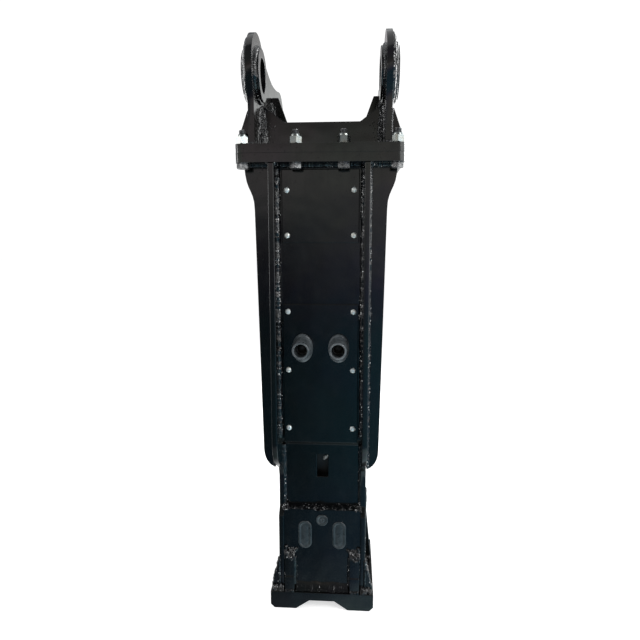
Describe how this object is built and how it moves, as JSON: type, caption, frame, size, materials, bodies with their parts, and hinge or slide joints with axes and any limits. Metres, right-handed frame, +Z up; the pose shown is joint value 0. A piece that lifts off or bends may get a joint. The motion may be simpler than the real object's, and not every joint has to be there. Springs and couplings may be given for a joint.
{
  "type": "hydraulic breaker hammer",
  "caption": "Box-type hydraulic breaker: slender welded housing with covers and hose boots, wide flanges, two-pin bracket ears, and the power cell with its sliding piston inside.",
  "frame": {"origin": "on the ground under the middle of the bounding box, at the underside of the foot plate", "axes": "+X to the right seen from the front, -Y to the front with the covers and hose boots, +Z up along the tool axis towards the bracket"},
  "size_m": [0.432, 0.6095, 1.6556],
  "materials": {
    "black_paint": "gloss black paint over rough plate and weld beads",
    "zinc_plate": "bright zinc plate",
    "black_rubber": "matt dark grey moulded rubber",
    "cast_block": "machined casting with a dark coat",
    "ground_steel": "ground and oiled",
    "dark_steel": "blackened, oiled",
    "urethane": "smooth dark blue polyurethane"
  },
  "bodies": {
    "housing": {"foot_plate": "black_paint", "front_plate": "black_paint", "lower_front_plate": "black_paint", "nose_front_plate": "black_paint", "rear_plate": "black_paint", "housing_flange": "black_paint", "bracket_flange": "black_paint", "front_cross_plate": "black_paint", "rear_cross_plate": "black_paint", "upper_cover": "black_paint", "lower_cover": "black_paint", "side_plate_left": "black_paint", "front_wing_left": "black_paint", "rear_wing_left": "black_paint", "nose_pad_left": "black_paint", "nose_gusset_left": "black_paint", "rear_gusset_left": "black_paint", "ear_left": "black_paint", "ear_doubler_left": "black_paint", "front_pin_boss_left": "black_paint", "rear_pin_boss_left": "black_paint", "ear_gusset_left": "black_paint", "side_plate_right": "black_paint", "front_wing_right": "black_paint", "rear_wing_right": "black_paint", "nose_pad_right": "black_paint", "nose_gusset_right": "black_paint", "rear_gusset_right": "black_paint", "ear_right": "black_paint", "ear_doubler_right": "black_paint", "front_pin_boss_right": "black_paint", "rear_pin_boss_right": "black_paint", "ear_gusset_right": "black_paint", "hose_boot_left": "black_rubber", "hose_boot_right": "black_rubber", "flange_bolt_front_1": "zinc_plate", "flange_bolt_front_2": "zinc_plate", "flange_bolt_front_3": "zinc_plate", "flange_bolt_front_4": "zinc_plate", "flange_bolt_rear_1": "zinc_plate", "flange_bolt_rear_2": "zinc_plate", "flange_bolt_rear_3": "zinc_plate", "flange_bolt_rear_4": "zinc_plate", "stop_pin_plug": "black_rubber", "front_head": "cast_block", "cylinder": "cast_block", "back_head": "cast_block", "tool_bush": "ground_steel", "upper_damper": "urethane", "valve_body": "dark_steel", "through_bolt_1": "dark_steel", "through_bolt_2": "dark_steel", "through_bolt_3": "dark_steel", "through_bolt_4": "dark_steel"},
    "piston_body": {"piston": "ground_steel"},
    "spool_body": {"valve_spool": "ground_steel"},
    "pin_left_body": {"retaining_pin_left": "ground_steel", "pin_plug_left": "black_rubber"},
    "pin_right_body": {"retaining_pin_right": "ground_steel", "pin_plug_right": "black_rubber"}
  },
  "joints": [
    {"name": "piston_stroke", "type": "slide", "parent": "housing", "child": "piston_body", "axis": [0, 0, 1], "range_m": [0, 0.1]},
    {"name": "spool_shift", "type": "slide", "parent": "housing", "child": "spool_body", "axis": [0, 0, 1], "range_m": [0, 0.016]},
    {"name": "left_pin_withdraw", "type": "slide", "parent": "housing", "child": "pin_left_body", "axis": [0, -1, 0], "range_m": [0, 0.245]},
    {"name": "right_pin_withdraw", "type": "slide", "parent": "housing", "child": "pin_right_body", "axis": [0, -1, 0], "range_m": [0, 0.245]}
  ]
}
